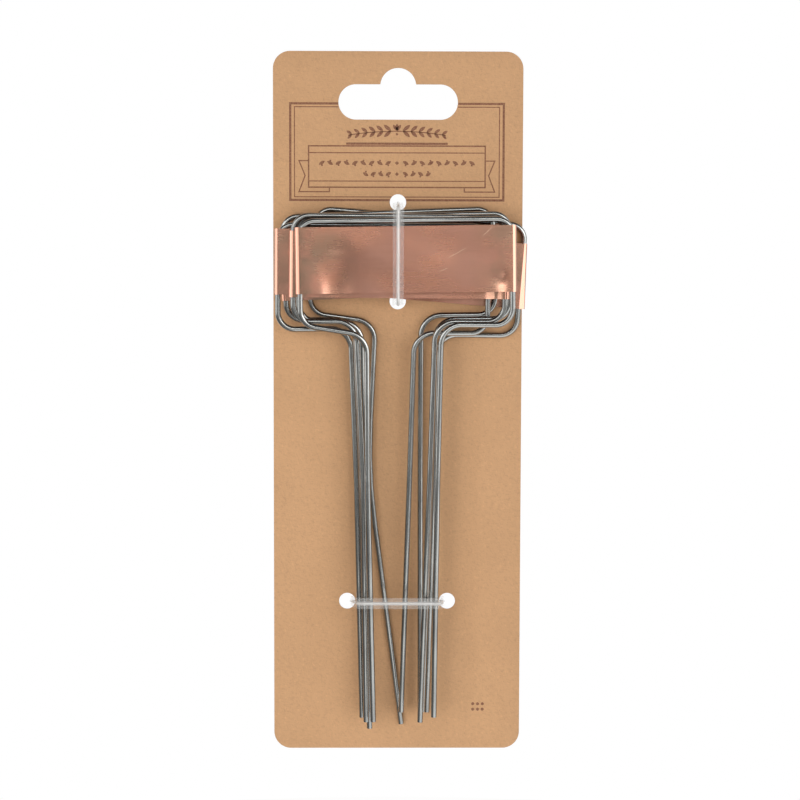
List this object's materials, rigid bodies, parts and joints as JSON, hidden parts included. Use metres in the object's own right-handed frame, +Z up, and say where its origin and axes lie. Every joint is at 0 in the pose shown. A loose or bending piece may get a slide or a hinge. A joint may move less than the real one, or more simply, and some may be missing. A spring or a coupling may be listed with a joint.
{
  "type": "plant label stake set",
  "caption": "Carded set of bent-wire plant label stakes: each wire has a wide head with a folded copper name plate, on long legs; clear twist ties hold the stack to a kraft hang card.",
  "frame": {"origin": "centre of the hang slot's dome, in the plane of the card's back face", "axes": "+Z up the card, +X to the right seen from the front, -Y out of the card's printed front"},
  "size_m": [0.0683, 0.0162, 0.189],
  "materials": {
    "kraft_card": "uncoated brown kraft board",
    "steel_wire": "bright drawn wire, slightly dulled",
    "copper_sheet": "satin rolled copper sheet",
    "clear_pvc": "clear soft PVC, glossy",
    "tie_core_steel": "thin galvanised wire"
  },
  "bodies": {
    "card": {"hang_card": "kraft_card", "upper_tie_ribbon": "clear_pvc", "upper_tie_core": "tie_core_steel", "lower_tie_ribbon": "clear_pvc", "lower_tie_core": "tie_core_steel"},
    "stake_1": {"stake_wire_1": "steel_wire"},
    "plate_1": {"name_plate_1": "copper_sheet"},
    "stake_2": {"stake_wire_2": "steel_wire"},
    "plate_2": {"name_plate_2": "copper_sheet"},
    "stake_3": {"stake_wire_3": "steel_wire"},
    "plate_3": {"name_plate_3": "copper_sheet"},
    "stake_4": {"stake_wire_4": "steel_wire"},
    "plate_4": {"name_plate_4": "copper_sheet"},
    "stake_5": {"stake_wire_5": "steel_wire"},
    "plate_5": {"name_plate_5": "copper_sheet"},
    "stake_6": {"stake_wire_6": "steel_wire"},
    "plate_6": {"name_plate_6": "copper_sheet"}
  },
  "joints": [
    {"name": "stake_1_swing", "type": "hinge", "parent": "card", "child": "stake_1", "pos_m": [0, -0.01155, -0.1392], "axis": [0, -1, 0], "range_deg": [-5.8, 4.2]},
    {"name": "plate_1_slide", "type": "slide", "parent": "stake_1", "child": "plate_1", "axis": [-0.014, 0, 0.9999], "range_m": [-0.0008, 0.00165]},
    {"name": "stake_2_swing", "type": "hinge", "parent": "card", "child": "stake_2", "pos_m": [0, -0.00955, -0.1392], "axis": [0, -1, 0], "range_deg": [-4.6, 5.4]},
    {"name": "plate_2_slide", "type": "slide", "parent": "stake_2", "child": "plate_2", "axis": [0.007, 0, 1], "range_m": [-0.0009, 0.00405]},
    {"name": "stake_3_swing", "type": "hinge", "parent": "card", "child": "stake_3", "pos_m": [0, -0.00755, -0.1392], "axis": [0, -1, 0], "range_deg": [-6.2, 3.8]},
    {"name": "plate_3_slide", "type": "slide", "parent": "stake_3", "child": "plate_3", "axis": [-0.0209, 0, 0.9998], "range_m": [-0.0023, 0.00285]},
    {"name": "stake_4_swing", "type": "hinge", "parent": "card", "child": "stake_4", "pos_m": [0, -0.00555, -0.1392], "axis": [0, -1, 0], "range_deg": [-4.7, 5.3]},
    {"name": "plate_4_slide", "type": "slide", "parent": "stake_4", "child": "plate_4", "axis": [0.0052, 0, 1], "range_m": [-0.0015, 0.00105]},
    {"name": "stake_5_swing", "type": "hinge", "parent": "card", "child": "stake_5", "pos_m": [0, -0.00355, -0.1392], "axis": [0, -1, 0], "range_deg": [-7.4, 2.6]},
    {"name": "plate_5_slide", "type": "slide", "parent": "stake_5", "child": "plate_5", "axis": [-0.0419, 0, 0.9991], "range_m": [-0.0006, 0.0048]},
    {"name": "stake_6_swing", "type": "hinge", "parent": "card", "child": "stake_6", "pos_m": [0, -0.00155, -0.1392], "axis": [0, -1, 0], "range_deg": [-0.4, 9.6]},
    {"name": "plate_6_slide", "type": "slide", "parent": "stake_6", "child": "plate_6", "axis": [0.0802, 0, 0.9968], "range_m": [-0.0006, 0.0048]}
  ]
}
